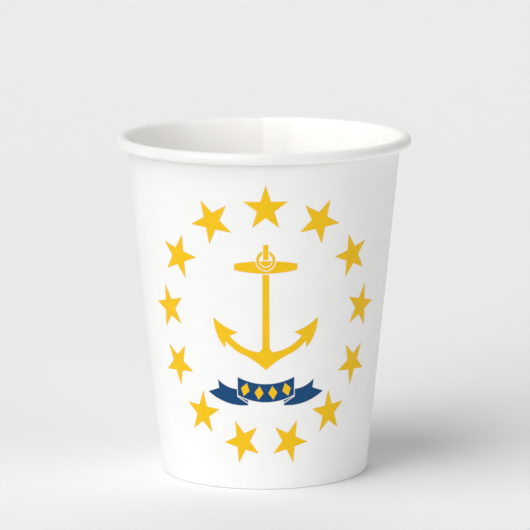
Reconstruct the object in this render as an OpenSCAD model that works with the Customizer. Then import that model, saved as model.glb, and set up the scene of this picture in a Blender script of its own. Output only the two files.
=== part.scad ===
// Paper cup: one blank of coated board wrapped into a cone with a lapped side seam,
// its top edge curled outward into a hollow rim and its bottom edge folded up round
// the skirt of a separate bottom disc. The print lies on the front, facing -Y.

/* [Cup] */
// Height from the table to the top of the rim
cup_h = 92; // [80:1:110]
// Outside diameter of the rim
rim_d = 80; // [76:0.5:90]
// Outside diameter of the wall at the table
base_d = 56; // [52:0.5:62]

/* [Board] */
// Thickness of the wall board
wall_t = 0.35; // [0.3:0.01:0.42]
// Thickness of the bottom disc's board
disc_t = 0.3; // [0.25:0.01:0.36]

/* [Rim] */
// Diameter of the curl in section
curl_d = 3.2; // [2.8:0.1:3.8]
// How far the board turns round the curl, in degrees
curl_turn = 312; // [280:1:314]

/* [Foot] */
// Height of the bottom disc's underside over the table
recess_h = 7; // [6.5:0.5:12]
// Height of the inner fold that grips the skirt
fold_h = 5.6; // [3:0.1:5.8]
// Outside radius of the bend where the disc turns down into its skirt
disc_bend_r = 0.7; // [0.5:0.05:1]

/* [Side seam] */
// Direction of the seam's inner cut edge, in degrees from +X
seam_dir = 89.5; // [80:0.5:100]
// Width of the lap, in degrees round the cup
lap_turn = 12; // [8:1:16]
// Stretch over which the board eases outward on to the lap, in degrees
ease_turn = 22; // [18:1:28]

/* [Print] */
// Height of the star ring's centre over the table
print_z = 44.7; // [42:0.1:48]
// Radius of the ring of stars
ring_r = 32.3; // [28:0.1:32.5]
// Number of stars in the ring
star_count = 13; // [5:1:13]
// Radius of each star, centre to point
star_r = 6.3; // [3:0.1:6.4]
// Radius of the cup's wall at which the artwork has its true width
art_r = 36.3; // [34:0.1:40]
// Thickness of the printed film
ink_t = 0.04; // [0.03:0.01:0.08]

/* [Anchor] */
// Half width of the shank
shank_hw = 0.95; // [0.6:0.05:1.1]
// Half length of the stock
stock_hl = 8.9; // [7:0.1:11]
// Half height of the stock at its middle
stock_mid = 1.7; // [1.4:0.05:2]
// Half height of the stock at its ends
stock_end = 0.85; // [0.6:0.05:1.2]
// Height of the stock's centreline over the centre of the star ring
stock_y = 16.6; // [15:0.1:17.5]
// Height of the shackle's centre over the stock's centreline
shackle_up = 1.8; // [1.4:0.1:2.4]
// Outer radius of the shackle
shackle_r = 2.65; // [2.2:0.05:3]
// Thickness of the shackle's line
shackle_w = 0.78; // [0.5:0.02:1]
// Half width of the eye that stands in the shackle
eye_hw = 0.7; // [0.5:0.05:0.9]
// Height of the eye's top over the stock's centreline
eye_up = 6.1; // [5.2:0.1:6.8]
// Width of the bare lines that part crossing shapes
bare_line = 0.28; // [0.2:0.01:0.4]

/* [Ribbon] */
// Half width of the middle panel
panel_hw = 8.85; // [7:0.05:9.5]
// Height of the panel's upper corners under the centre of the star ring
panel_top = 13.5; // [13:0.1:14]
// Height of the panel
panel_h = 5; // [4:0.1:5.5]
// How far the panel's middle hangs below its ends
panel_sag = 1.85; // [1:0.05:2.5]
// Number of lozenges on the panel
lozenge_count = 4; // [2:1:5]
// Half width of each lozenge
lozenge_hw = 1.4; // [0.6:0.05:1.6]
// Half height of each lozenge
lozenge_hh = 1.9; // [0.8:0.05:2]

/* [Hidden] */
$fn = 96;

base_r = base_d / 2;
curl_out = curl_d / 2;
curl_in = curl_out - wall_t;
curl_c = [rim_d / 2 - curl_out, cup_h - curl_out];

// The wall's outer face starts at the base edge and ends tangent to the curl's hollow
curl_away = norm(curl_c - [base_r, 0]);
taper = atan2(curl_c[0] - base_r, curl_c[1]) - asin(curl_in / curl_away);
wall_len = sqrt(curl_away * curl_away - curl_in * curl_in);

// A point that lies s up the wall's outer face from the table and n inward from it
function on_wall(s, n) = [base_r + s * sin(taper) - n * cos(taper), s * cos(taper) + n * sin(taper)];
// How far up the wall the line that lies n inward reaches height z
function s_at(z, n) = (z - n * sin(taper)) / cos(taper);
// Radius of the wall's outer face at height z
function wall_r(z) = base_r + z * tan(taper);
// Points of an arc round c, with both ends
function arc(c, r, from, to, step) =
  let(n = ceil(abs(to - from) / step))
  [for (i = [0 : n]) c + r * [cos(from + (to - from) * i / n), sin(from + (to - from) * i / n)]];

// The foot is three boards thick: wall, skirt and inner fold
fold_n = wall_t + disc_t;
foot_t = fold_n + wall_t;
heel_c = on_wall(s_at(wall_t, wall_t), wall_t);
toe_c = on_wall(s_at(wall_t, fold_n), fold_n);
disc_top = recess_h + disc_t;
disc_bend_n = wall_t + disc_bend_r;
disc_bend_c = on_wall(s_at(disc_top - disc_bend_r, disc_bend_n), disc_bend_n);
skirt_play = 0.1;
skirt_end = s_at(wall_t + skirt_play, wall_t);

// The lap runs from just over the foot's bend up into the curl, where it lines the hollow
// and ends short of the curl's own end. The board eases on to it up to just under the curl,
// and is cut free at the seam's inner edge from step_lo to step_hi.
lap_short = 12;
lap_curl_turn = curl_turn - lap_short;
seam_lo = s_at(2 * wall_t, 0);
ease_gap = 0.3;
seam_hi = wall_len - curl_out - ease_gap;
step_over_disc = 1;
step_lo = s_at(disc_top + step_over_disc, 0);
step_under_ease = 0.5;
step_hi = seam_hi - step_under_ease;

// Glued boards sink into each other by bite, and sectors run past each other by join_turn
bite = 0.03;
join_turn = 0.4;
ease_shift = (wall_t - bite) / sin(ease_turn);
reach = rim_d;

// A strip of board lying along the wall, between depths n0 and n1
module board(s0, s1, n0, n1) {
  polygon([on_wall(s0, n0), on_wall(s1, n0), on_wall(s1, n1), on_wall(s0, n1)]);
}

// The same strip swept between two directions round the cup
module board_sector(from, to, s0, s1, n0, n1) {
  rotate([0, 0, from])
    rotate_extrude(angle = to - from) board(s0, s1, n0, n1);
}

// The blank in section: out along its printed face from the inner fold, round the heel,
// up the wall and round the curl, then back along its coated face
module blank_section() {
  polygon(concat(
    [on_wall(s_at(fold_h, foot_t), foot_t)],
    arc(toe_c, wall_t, 180 - taper, 270, 15),
    arc(heel_c, wall_t, 270, 360 - taper, 15),
    arc(curl_c, curl_in, 180 - taper, 180 - taper - curl_turn, 6),
    arc(curl_c, curl_out, 180 - taper - curl_turn, 180 - taper, 6),
    [heel_c, toe_c],
    [on_wall(s_at(fold_h, fold_n), fold_n)]));
}

// The outer board of the lap in section, up the wall and on round the curl's hollow
module lap_section() {
  polygon(concat(
    [on_wall(seam_lo, -wall_t)],
    arc(curl_c, curl_in - wall_t, 180 - taper, 180 - taper - lap_curl_turn, 12),
    arc(curl_c, curl_in + bite, 180 - taper - lap_curl_turn, 180 - taper, 6),
    [on_wall(seam_lo, bite)]));
}

// Where the board eases on to the lap it is the same cone moved sideways, so that it
// leaves the true cone where the ease starts and lies one board out at the seam
module eased_board() {
  from = seam_dir - join_turn;
  to = seam_dir + ease_turn;
  intersection() {
    translate(ease_shift * [sin(to), -cos(to), 0])
      rotate_extrude() board(seam_lo, seam_hi, 0, wall_t);
    linear_extrude(height = cup_h)
      polygon([[0, 0], reach * [cos(from), sin(from)], reach * [cos(to), sin(to)]]);
  }
}

module sidewall() {
  color("white")
    union() {
      difference() {
        rotate_extrude() blank_section();
        board_sector(seam_dir, seam_dir + ease_turn - join_turn, step_lo, step_hi,
                     -wall_t, 3 * wall_t);
      }
      eased_board();
      rotate([0, 0, seam_dir - lap_turn])
        rotate_extrude(angle = lap_turn + join_turn) lap_section();
    }
}

module bottom_disc() {
  color("whitesmoke")
    rotate_extrude()
      polygon(concat(
        [[0, disc_top]],
        arc(disc_bend_c, disc_bend_r, 90, -taper, 15),
        [on_wall(skirt_end, wall_t), on_wall(skirt_end, fold_n)],
        arc(disc_bend_c, disc_bend_r - disc_t, -taper, 90, 15),
        [[0, recess_h]]));
}

// Artwork is drawn flat, x to the right and y up from the ring's centre. Each x keeps its
// own angle round the cup, so the print narrows with the wall.
function wrapped(p) = [wall_r(print_z + p[1]) * sin(p[0] / art_r * 180 / PI), print_z + p[1]];

module field(outline) {
  polygon([for (p = outline) wrapped(p)]);
}

// A film of ink on the front of the wall, of the outline of its children
module ink() {
  intersection() {
    rotate([90, 0, 0])
      linear_extrude(height = reach) children();
    rotate_extrude() board(0, wall_len, -ink_t, 0);
  }
}

// Points of an arc from a to b, bowed by sag to the left of the way from a to b
function bow(a, b, sag, steps = 8) =
  let(half = norm(b - a) / 2,
      away = (half * half - sag * sag) / (2 * sag),
      left = [a[1] - b[1], b[0] - a[0]] / (2 * half),
      c = (a + b) / 2 - away * left,
      start = atan2(a[1] - c[1], a[0] - c[0]),
      swing = 2 * atan(half / away))
  [for (i = [0 : steps]) c + norm(a - c) * [cos(start - swing * i / steps),
                                            sin(start - swing * i / steps)]];

function mirrored(outline) = [for (i = [len(outline) - 1 : -1 : 0]) [-outline[i][0], outline[i][1]]];
function moved(outline, x, y, turn) =
  [for (p = outline) [x + p[0] * cos(turn) - p[1] * sin(turn),
                      y + p[0] * sin(turn) + p[1] * cos(turn)]];
function rectangle(hw, y0, y1) = [[-hw, y0], [hw, y0], [hw, y1], [-hw, y1]];

module printed_stars() {
  notch_r = star_r * sin(18) / cos(36);
  star = [for (i = [0 : 9]) (i % 2 == 0 ? star_r : notch_r) * [sin(36 * i), cos(36 * i)]];
  color("gold")
    ink()
      for (k = [0 : star_count - 1]) {
        a = 360 * k / star_count;
        field(moved(star, ring_r * sin(a), ring_r * cos(a), -a));
      }
}

// The anchor's left half from the top of its shank to its crown, each stretch an arc
fluke_tip = [-15.8, 2.6];
barb_in = [-8.4, -1.15];
barb_out = [-12.5, -5.6];
notch_in = [-10.9, -2.3];
notch_out = [-12.2, -3.75];
arm_bend = [-6.3, -7.5];
crown = [0, -11.5];
shank_foot = [-1.05, -4.8];
arm_root = [-2.2, -6.55];
anchor_half = concat(
  [[-shank_hw, stock_y - stock_mid - bare_line]],
  bow(shank_foot, arm_root, 0.35),
  bow(arm_root, notch_in, 0.87),
  bow(barb_in, fluke_tip, 0.5),
  bow(fluke_tip, barb_out, -0.9),
  bow(notch_out, arm_bend, -0.42),
  bow(arm_bend, crown, 0.27));

module printed_anchor() {
  stock_half = bow([-stock_hl, stock_y + stock_end], [stock_hl, stock_y + stock_end],
                   stock_mid - stock_end);
  stock = concat(stock_half, [for (p = stock_half) [-p[0], 2 * stock_y - p[1]]]);
  shackle_c = [0, stock_y + shackle_up];
  eye_top = stock_y + eye_up;
  color("gold")
    ink()
      union() {
        field(concat(anchor_half, mirrored(anchor_half)));
        field(rectangle(eye_hw, stock_y + stock_mid + bare_line, eye_top));
        difference() {
          field(arc(shackle_c, shackle_r, 0, 360, 10));
          field(arc(shackle_c, shackle_r - shackle_w, 0, 360, 10));
          field(rectangle(eye_hw + bare_line, shackle_c[1], eye_top));
        }
        difference() {
          field(stock);
          field(arc(shackle_c, shackle_r + bare_line, 0, 360, 10));
        }
        intersection() {
          field(stock);
          field(arc(shackle_c, shackle_r - shackle_w - bare_line, 0, 360, 10));
        }
      }
}

panel_edge = bow([-panel_hw, -panel_top], [panel_hw, -panel_top], -panel_sag, 16);
panel_bend_r = (panel_hw * panel_hw + panel_sag * panel_sag) / (2 * panel_sag);
// Height of the panel's upper edge at x
function panel_y(x) = panel_bend_r - panel_sag - panel_top - sqrt(panel_bend_r * panel_bend_r - x * x);

// Each lozenge stands on the panel's middle line, square to its curve
module lozenges() {
  end_room = 0.1;
  pitch = 2 * panel_hw / (lozenge_count + end_room);
  for (k = [0 : lozenge_count - 1]) {
    x = (k - (lozenge_count - 1) / 2) * pitch;
    lean = asin(x / panel_bend_r);
    y = panel_y(x) - panel_h / 2;
    field(moved([[lozenge_hw, 0], [0, lozenge_hh], [-lozenge_hw, 0], [0, -lozenge_hh]], x, y, lean));
  }
}

// The ribbon's left tail turns back behind the panel and ends in a swallowtail. Its points
// are set from the panel's upper corner, and those of the turn from the panel's lower edge.
panel_corner = [-panel_hw, -panel_top];
tail_upper = panel_corner + [-6.45, -0.9];
tail_inner = panel_corner + [-bare_line, -3.35];
tail_notch = panel_corner + [-6.15, -3.3];
tail_lower = panel_corner + [-9.95, -4.5];
turn_outer = panel_corner + [-bare_line, -0.45 - panel_h];
turn_x = panel_corner[0] + 3.2;
turn_inner = [turn_x, panel_y(turn_x) - panel_h];
tail = concat(
  bow(tail_upper, tail_inner, -0.6),
  [turn_outer, turn_inner - [0, 1.25]],
  bow(turn_inner - [0, 1.6], tail_lower, 1.15, 12),
  [tail_notch]);
// The sliver of the ribbon's back that shows in the turn
sliver = [turn_outer + [0.5, 0], turn_inner - [0, 0.35], turn_inner - [0, 0.9]];

module printed_ribbon() {
  panel = concat(panel_edge, [for (i = [len(panel_edge) - 1 : -1 : 0]) panel_edge[i] - [0, panel_h]]);
  color("navy")
    ink()
      union() {
        difference() {
          field(panel);
          lozenges();
        }
        for (outline = [tail, sliver]) {
          field(outline);
          field(mirrored(outline));
        }
      }
}

module printed_lozenges() {
  color("gold")
    ink() lozenges();
}

sidewall();
bottom_disc();
printed_stars();
printed_anchor();
printed_ribbon();
printed_lozenges();
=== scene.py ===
import bpy
import math
from mathutils import Matrix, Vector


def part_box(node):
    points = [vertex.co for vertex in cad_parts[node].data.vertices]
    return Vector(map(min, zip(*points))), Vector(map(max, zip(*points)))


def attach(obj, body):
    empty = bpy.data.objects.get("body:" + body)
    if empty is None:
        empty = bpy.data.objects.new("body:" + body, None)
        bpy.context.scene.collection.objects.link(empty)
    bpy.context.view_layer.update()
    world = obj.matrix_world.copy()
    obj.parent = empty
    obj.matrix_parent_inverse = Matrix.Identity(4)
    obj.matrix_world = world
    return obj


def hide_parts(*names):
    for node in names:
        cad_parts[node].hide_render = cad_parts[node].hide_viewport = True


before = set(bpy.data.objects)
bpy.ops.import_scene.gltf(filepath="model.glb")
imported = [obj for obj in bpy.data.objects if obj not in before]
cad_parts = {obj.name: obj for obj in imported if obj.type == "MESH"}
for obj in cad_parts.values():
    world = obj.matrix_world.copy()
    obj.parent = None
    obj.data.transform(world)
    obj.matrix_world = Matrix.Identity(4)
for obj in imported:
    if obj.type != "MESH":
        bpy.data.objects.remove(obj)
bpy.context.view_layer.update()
mm = 0.001
print("frame loaded:", sorted(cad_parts))


def hexColour(code):
    # sRGB hex to the linear values that Blender works in
    parts = [int(code[i:i + 2], 16) / 255 for i in (1, 3, 5)]
    return [p / 12.92 if p <= 0.04045 else ((p + 0.055) / 1.055) ** 2.4 for p in parts] + [1.0]


def addNode(tree, kind, settings={}, links={}):
    # a setting is a property of the node or, failing that, the value of one of its inputs
    node = tree.nodes.new(kind)
    for name, value in settings.items():
        if isinstance(name, str) and hasattr(node, name):
            setattr(node, name, value)
        else:
            node.inputs[name].default_value = value
    for name, socket in links.items():
        tree.links.new(socket, node.inputs[name])
    return node


def startMaterial(name, roughness, ior, specular=0.5):
    material = bpy.data.materials.new(name)
    material.use_nodes = True
    tree = material.node_tree
    tree.nodes.clear()
    shader = addNode(tree, "ShaderNodeBsdfPrincipled",
                     {"Roughness": roughness, "IOR": ior, "Specular IOR Level": specular})
    addNode(tree, "ShaderNodeOutputMaterial", {}, {"Surface": shader.outputs["BSDF"]})
    return material, tree, shader


# Every paper surface is a mat of fibres. They lie mostly up and down the cup, the way the
# blank is cut, and gather in soft clouds that show when the board is held to the light.
fibreMat = {
    "cloudSize": 7 * mm,
    "cloudDetail": 4,
    "cloudRoughness": 0.6,
    "cloudRange": (0.3, 0.7),   # the noise at the thinnest spots and at the thickest
    "fibreLength": 2.4 * mm,
    "fibreWidth": 0.45 * mm,    # real ones are about 0.03 mm, too fine to show
    "fibreDetail": 3,
    "fibreRoughness": 0.55,
}

# thin and thick are the colours of the board's thin and thick spots, relief is the fibres' height
finishes = {
    # bleached cup board, calendered but not coated: white, even, with a dull eggshell sheen
    "bleachedCupBoard": {"thin": "#E6E6E5", "thick": "#E9E9E9", "relief": 0.006 * mm,
                         "roughness": 0.6, "ior": 1.45, "specular": 0.5},
    # the same board under a film of polyethylene: a little warmer, smoother, with a soft gloss;
    # over the top of the rim's roll it is painted greyer, a painted shade that fades out under the
    # roll
    "polyCoatedBoard": {"thin": "#F5F3F0", "thick": "#F9F8F5", "relief": 0.004 * mm,
                        "roughness": 0.42, "ior": 1.5, "specular": 0.5,
                        "drawnThin": "#DBDAD8", "drawnThick": "#DEDEDC"},
    # board cut through: bare fibre ends, rougher and creamier than either face
    "cutBoardEdge": {"thin": "#DAD4C6", "thick": "#EAE6DC", "relief": 0.03 * mm,
                     "roughness": 0.85, "ior": 1.45, "specular": 0.5},
    # water-based ink pressed into the board: flat colour, dull, with the fibres just showing
    "goldFlexoInk": {"thin": "#E8BA0E", "thick": "#E5B606", "relief": 0.006 * mm,
                     "roughness": 0.5, "ior": 1.48, "specular": 0.2},
    "navyFlexoInk": {"thin": "#084473", "thick": "#04406F", "relief": 0.006 * mm,
                     "roughness": 0.5, "ior": 1.48, "specular": 0.2},
}


def cloudBetween(tree, place, thin, thick):
    # the colour at each spot, from that of the thin spots to that of the thick ones
    clouds = addNode(tree, "ShaderNodeTexNoise",
                     {"Scale": 1 / fibreMat["cloudSize"], "Detail": fibreMat["cloudDetail"],
                      "Roughness": fibreMat["cloudRoughness"]}, {"Vector": place})
    thinnest, thickest = fibreMat["cloudRange"]
    spread = addNode(tree, "ShaderNodeMapRange", {"From Min": thinnest, "From Max": thickest},
                     {"Value": clouds.outputs["Fac"]})
    blend = addNode(tree, "ShaderNodeMix",
                    {"data_type": "RGBA", 6: hexColour(thin), 7: hexColour(thick)},
                    {0: spread.outputs["Result"]})
    return blend.outputs[2]


def fibreBump(tree, place, relief):
    # the mat's relief, its pattern drawn out along the fibres
    across = 1 / fibreMat["fibreWidth"]
    along = 1 / fibreMat["fibreLength"]
    stretched = addNode(tree, "ShaderNodeMapping", {"Scale": (across, across, along)},
                        {"Vector": place})
    fibres = addNode(tree, "ShaderNodeTexNoise",
                     {"Scale": 1, "Detail": fibreMat["fibreDetail"],
                      "Roughness": fibreMat["fibreRoughness"]},
                     {"Vector": stretched.outputs["Vector"]})
    bump = addNode(tree, "ShaderNodeBump", {"Strength": 1, "Distance": relief},
                   {"Height": fibres.outputs["Fac"]})
    return bump.outputs["Normal"]


def makePaper(name):
    look = finishes[name]
    material, tree, shader = startMaterial(name, look["roughness"], look["ior"], look["specular"])
    place = addNode(tree, "ShaderNodeTexCoord").outputs["Object"]
    colour = cloudBetween(tree, place, look["thin"], look["thick"])
    if "drawnThin" in look:
        # the mesh's own attribute says how much of the painted shade each point of the roll gets
        drawn = addNode(tree, "ShaderNodeAttribute", {"attribute_name": "drawn"})
        drawnColour = cloudBetween(tree, place, look["drawnThin"], look["drawnThick"])
        blend = addNode(tree, "ShaderNodeMix", {"data_type": "RGBA"},
                        {0: drawn.outputs["Fac"], 6: colour, 7: drawnColour})
        colour = blend.outputs[2]
    tree.links.new(colour, shader.inputs["Base Color"])
    tree.links.new(fibreBump(tree, place, look["relief"]), shader.inputs["Normal"])
    return material


cupBoard = makePaper("bleachedCupBoard")
coatedBoard = makePaper("polyCoatedBoard")
cutEdge = makePaper("cutBoardEdge")
goldInk = makePaper("goldFlexoInk")
blueInk = makePaper("navyFlexoInk")
print("materials made")


def deselectAll():
    if bpy.context.object and bpy.context.object.mode == "EDIT":
        bpy.ops.object.mode_set(mode="OBJECT")
    bpy.ops.object.select_all(action="DESELECT")


def startSection(name, start):
    # a small plane merged to the one point that a section is drawn from, in radius and height
    deselectAll()
    bpy.ops.mesh.primitive_plane_add(size=mm, location=(start[0], 0, start[1]))
    piece = bpy.context.object
    piece.name = name
    bpy.ops.object.transform_apply(location=True, rotation=True, scale=True)
    bpy.ops.object.mode_set(mode="EDIT")
    bpy.ops.mesh.select_all(action="SELECT")
    bpy.ops.mesh.merge(type="CENTER")
    return piece


def drawOn(start, end, steps=1):
    # draws the section on in a straight line
    step = ((end[0] - start[0]) / steps, 0, (end[1] - start[1]) / steps)
    for _ in range(steps):
        bpy.ops.mesh.extrude_vertices_move(TRANSFORM_OT_translate={"value": step})


def bendOn(centre, turn, steps):
    # draws the section on round a bend, from outward to upward where the turn is positive
    bpy.ops.mesh.spin(steps=steps, angle=abs(turn), center=(centre[0], 0, centre[1]),
                      axis=(0, math.copysign(1, turn), 0))


def sweepSection(piece, turn, steps):
    # sweeps the section round the cup, and gives the number of points in it
    bpy.ops.object.mode_set(mode="OBJECT")
    points = len(piece.data.vertices)
    bpy.ops.object.mode_set(mode="EDIT")
    bpy.ops.mesh.select_all(action="SELECT")
    bpy.ops.mesh.spin(steps=steps, angle=turn, center=(0, 0, 0), axis=(0, 0, 1))
    bpy.ops.mesh.select_all(action="SELECT")
    return points


def useModifier(piece, kind, settings):
    modifier = piece.modifiers.new(kind.title(), kind)
    for name, value in settings.items():
        setattr(modifier, name, value)
    bpy.ops.object.modifier_apply(modifier=modifier.name)


creaseAngle = 40   # the board's cut edges stay sharp, and its bends don't


def thickenBoard(piece, thickness, materials):
    # printed or upper face first, then the face behind it, then the cut edges
    for material in materials:
        piece.data.materials.append(material)
    useModifier(piece, "SOLIDIFY", {"thickness": thickness, "offset": -1, "material_offset": 1,
                                    "material_offset_rim": 2})
    bpy.ops.object.shade_smooth_by_angle(angle=math.radians(creaseAngle))


# turns and directions are in degrees; a column is one step of the sweep, a row one point of
# the section, counted from the top of the inner fold round the heel and up to the roll's end
blank = {
    "footRadius": 28 * mm,
    "board": 0.35 * mm,
    "skirt": 0.3 * mm,           # room for the bottom's skirt inside the fold
    "foldHeight": 5.6 * mm,
    "foldRows": 9,
    "bendSteps": 5,
    "wallRows": 24,
    "curlDiameter": 3.2 * mm,
    "curlTurn": 312,
    "curlSteps": 39,
    "columnTurn": 2,
    "seamDirection": 89.5,       # where the inner cut edge lies
    "lapTurn": 12,
    "lapStep": 1.02,             # the rise on to the lap, in thicknesses of board
    "easeTurn": 22,              # the turn in which the board makes that rise
    "edgePress": 5,              # the higher, the nearer the cut edge the rise is
    "curlPress": 0.4,            # share of the rise that the tight roll keeps
    "pressRows": 12,             # rows of the roll in which the rise falls to that share
    "lapPress": 0.19 * mm,       # how far the lap is pressed flat
    "heelFrom": 0.7 * mm,        # below this height the outer board doesn't rise
    "heelTo": 3 * mm,            # and above this one it rises in full
    "drawnFull": (7, 19),        # rows of the roll between which the painted shade is fullest
    "drawnFade": 7,              # rows in which the painted shade fades out again
    "knurlDepth": 0.07 * mm,     # how far the ribs on the fold stand out
    "knurlFrom": 1.4 * mm,
    "knurlTo": 5 * mm,
}
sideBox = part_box("sidewall")
rimRadius = (sideBox[1].x - sideBox[0].x) / 2
cupHeight = sideBox[1].z
board = blank["board"]
curlOut = blank["curlDiameter"] / 2
curlIn = curlOut - board
curlCentre = (rimRadius - curlOut, cupHeight - curlOut)
outward = curlCentre[0] - blank["footRadius"]
# the wall runs from the foot's radius and touches the inside of the roll
taper = (math.atan2(outward, curlCentre[1])
         - math.asin(curlIn / math.hypot(outward, curlCentre[1])))
heelRows = blank["foldRows"] + 2 * blank["bendSteps"] + 1   # the fold's rows and the heel's
rollStart = heelRows + blank["wallRows"]


def onWall(z, depth):
    # the point of the wall at height z that lies this deep in from its printed face
    return (blank["footRadius"] + z * math.tan(taper) - depth / math.cos(taper), z)


def besideBend(centre, radius, polar):
    return (centre[0] + radius * math.cos(polar), centre[1] + radius * math.sin(polar))


def weigh(piece, name, rule):
    # a vertex group whose weights follow a rule of column turn, section row and height
    group = piece.vertex_groups.new(name=name)
    for v in piece.data.vertices:
        weight = rule(v.index // rowCount * blank["columnTurn"], v.index % rowCount, v.co.z)
        if weight > 0:
            group.add([v.index], weight, "REPLACE")
    return name


def overHeel(z):
    return min(1, max(0, (z - blank["heelFrom"]) / (blank["heelTo"] - blank["heelFrom"])))


def liftRule(turn, row, z):
    # the board rises on to the lap behind the inner cut edge, most steeply beside the edge
    rise = 1 - (360 - turn) / blank["easeTurn"]
    if rise <= 0 or row < heelRows:
        return 0
    rolled = min(1, max(0, (row - rollStart) / blank["pressRows"]))
    held = 1 + (blank["curlPress"] - 1) * rolled
    return min(1, rise) ** blank["edgePress"] * overHeel(z) * held


def tuckRule(turn, row, z):
    # under the lap's foot the inner board gives way instead, so the heel stays flat
    if turn > blank["lapTurn"]:
        return 0
    return 1 if row < heelRows else 1 - overHeel(z)


def pressRule(turn, row, z):
    # the lap was pressed flat while it was sealed, so it is a chord of the cup's round
    half = blank["lapTurn"] / 2
    off = (turn % 360 - half) / half
    return (1 - off * off) * overHeel(z) if abs(off) < 1 and row >= heelRows else 0


def knurlRule(turn, row, z):
    # the wheel that seals the inner fold leaves upright ribs on it, one to every other column
    inBand = row < blank["foldRows"] and blank["knurlFrom"] < z < blank["knurlTo"]
    return 1 if inBand and turn // blank["columnTurn"] % 2 else 0


def drawnRule(row):
    # the painted shade on each row of the roll: most over its top, least below
    rolled = row - rollStart
    first, last = blank["drawnFull"]
    return max(0, min(1, rolled / first, 1 - (rolled - last) / blank["drawnFade"]))


toeCentre = onWall(board, board + blank["skirt"])
heelCentre = onWall(board, board)
wallTop = besideBend(curlCentre, curlIn, math.pi - taper)
wallFoot = besideBend(heelCentre, board, -taper)
foldTop = onWall(blank["foldHeight"], 2 * board + blank["skirt"])
foldFoot = besideBend(toeCentre, board, math.pi - taper)

cupWall = startSection("cupWall", foldTop)
drawOn(foldTop, foldFoot, blank["foldRows"] - 1)
bendOn(toeCentre, math.pi / 2 + taper, blank["bendSteps"])
drawOn(toeCentre, heelCentre)
bendOn(heelCentre, math.pi / 2 - taper, blank["bendSteps"])
drawOn(wallFoot, wallTop, blank["wallRows"])
bendOn(curlCentre, -math.radians(blank["curlTurn"]), blank["curlSteps"])
fullTurn = 360 + blank["lapTurn"]
rowCount = sweepSection(cupWall, math.radians(fullTurn), fullTurn // blank["columnTurn"])
deselectAll()
cupWall.select_set(True)
cupWall.rotation_euler.z = math.radians(blank["seamDirection"])
bpy.ops.object.transform_apply(location=True, rotation=True, scale=True)
print("blank swept:", rowCount, "points in its section")

# how far each rule moves the board out along its normals, or along Y
presses = {
    "lift": (board * blank["lapStep"], "NORMAL", liftRule),
    "tuck": (-board * blank["lapStep"], "NORMAL", tuckRule),
    "press": (-blank["lapPress"], "Y", pressRule),
    "knurl": (blank["knurlDepth"], "NORMAL", knurlRule),
}
for name, (strength, direction, rule) in presses.items():
    useModifier(cupWall, "DISPLACE", {"strength": strength, "mid_level": 0, "direction": direction,
                                      "vertex_group": weigh(cupWall, name, rule)})
# painted shade for the top of the rim's roll, kept in the mesh point by point
drawn = cupWall.data.attributes.new("drawn", "FLOAT", "POINT")
for v in cupWall.data.vertices:
    drawn.data[v.index].value = drawnRule(v.index % rowCount)
thickenBoard(cupWall, board, [cupBoard, coatedBoard, cutEdge])
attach(cupWall, "root")
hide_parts("sidewall")
print("side wall lapped and thickened")


disc = {
    "board": 0.3 * mm,
    "bend": 0.7 * mm,
    "rings": 12,
    "bendSteps": 6,
    "skirtRows": 4,
    "columns": 180,
    "mergeWithin": 0.001 * mm,   # closes the sweep, and the point in the middle
}
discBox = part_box("bottom_disc")
discTop = discBox[1].z
discBendCentre = onWall(discTop - disc["bend"], board + disc["bend"])
skirtTop = besideBend(discBendCentre, disc["bend"], -taper)
skirtFoot = onWall(discBox[0].z, board)

cupBottom = startSection("cupBottom", (0, discTop))
drawOn((0, discTop), (discBendCentre[0], discTop), disc["rings"])
bendOn(discBendCentre, -math.pi / 2 - taper, disc["bendSteps"])
drawOn(skirtTop, skirtFoot, disc["skirtRows"])
sweepSection(cupBottom, 2 * math.pi, disc["columns"])
bpy.ops.mesh.remove_doubles(threshold=disc["mergeWithin"])
bpy.ops.mesh.normals_make_consistent(inside=False)
deselectAll()
cupBottom.select_set(True)
thickenBoard(cupBottom, disc["board"], [coatedBoard, cupBoard, cutEdge])
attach(cupBottom, "root")
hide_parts("bottom_disc")
print("bottom disc drawn")

inks = {
    "printed_stars": goldInk,
    "printed_anchor": goldInk,
    "printed_lozenges": goldInk,
    "printed_ribbon": blueInk,
}
for node, ink in inks.items():
    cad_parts[node].data.materials.clear()
    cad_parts[node].data.materials.append(ink)
print("print inked")


table = {
    "size": 12,
    "drop": 0.02 * mm,   # so that the foot and the table don't share a plane
    "colour": "#E8E8E8",
    "roughness": 0.75,
    "ior": 1.45,
}
deselectAll()
bpy.ops.mesh.primitive_plane_add(size=table["size"], location=(0, 0, -table["drop"]))
tableTop = bpy.context.object
tableTop.name = "tableTop"
tableFinish, _, shader = startMaterial("paleTableTop", table["roughness"], table["ior"])
shader.inputs["Base Color"].default_value = hexColour(table["colour"])
tableTop.data.materials.append(tableFinish)

studio = {
    "skyStrength": 0.2,
    "skyColour": "#FFFFFF",
    "backdrop": "#EBEBEB",
    # strength, turn from the camera's side, height over the table and spread of each
    "lamps": {
        "keySoftbox": (1.62, -60, 60, 45),
        "windowWide": (1.49, -40, 20, 40),
        "rightBounce": (0.985, 60, 10, 40),
        "backBounce": (0.454, 180, 50, 40),
    },
}
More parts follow.
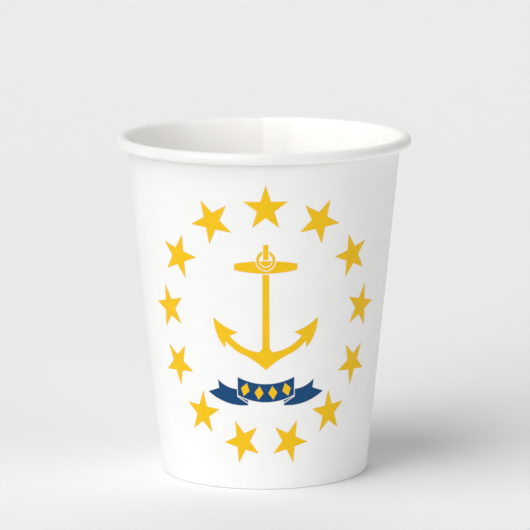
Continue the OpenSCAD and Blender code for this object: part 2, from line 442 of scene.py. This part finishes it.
# the sky lights the cup, and the backdrop is what the camera and the gloss see in its place
world = bpy.data.worlds.new("studioSky")
bpy.context.scene.world = world
world.use_nodes = True
tree = world.node_tree
tree.nodes.clear()
rays = addNode(tree, "ShaderNodeLightPath").outputs
cameraOrGloss = addNode(tree, "ShaderNodeMath", {"operation": "MAXIMUM"},
                        {0: rays["Is Camera Ray"], 1: rays["Is Glossy Ray"]})
anySight = addNode(tree, "ShaderNodeMath", {"operation": "MAXIMUM"},
                   {0: cameraOrGloss.outputs[0], 1: rays["Is Transmission Ray"]})
sky = addNode(tree, "ShaderNodeBackground",
              {"Color": hexColour(studio["skyColour"]), "Strength": studio["skyStrength"]})
backdrop = addNode(tree, "ShaderNodeBackground",
                   {"Color": hexColour(studio["backdrop"]), "Strength": 1})
either = addNode(tree, "ShaderNodeMixShader", {}, {0: anySight.outputs[0], 1: sky.outputs[0],
                                                   2: backdrop.outputs[0]})
addNode(tree, "ShaderNodeOutputWorld", {}, {"Surface": either.outputs[0]})


def addSoftbox(name, strength, azimuth, height, spread):
    # a broad soft light far off
    light = bpy.data.lights.new(name, "SUN")
    light.energy = strength
    light.angle = math.radians(spread)
    lamp = bpy.data.objects.new(name, light)
    bpy.context.collection.objects.link(lamp)
    lamp.matrix_world = (Matrix.Rotation(math.radians(azimuth), 4, "Z")
                         @ Matrix.Rotation(math.radians(90 - height), 4, "X"))


for name, lamp in studio["lamps"].items():
    addSoftbox(name, *lamp)

# a long lens, most of a metre in front of the cup and a little over it; turns are in degrees
view = {
    "place": (-11.43 * mm, -880.13 * mm, 208.7 * mm),
    "lens": 222.6,
    "sensor": 36,
    "pan": -0.761,
    "tilt": 80.159,
    "roll": -0.191,
}
camera = bpy.data.cameras.new("camera")
camera.lens = view["lens"]
camera.sensor_width = view["sensor"]
cameraStand = bpy.data.objects.new("camera", camera)
bpy.context.collection.objects.link(cameraStand)
cameraStand.matrix_world = (Matrix.Translation(view["place"])
                            @ Matrix.Rotation(math.radians(view["pan"]), 4, "Z")
                            @ Matrix.Rotation(math.radians(view["tilt"]), 4, "X")
                            @ Matrix.Rotation(math.radians(view["roll"]), 4, "Z"))
bpy.context.scene.camera = cameraStand
bpy.context.scene.view_settings.view_transform = "Standard"
print("stage, lamps and camera set")
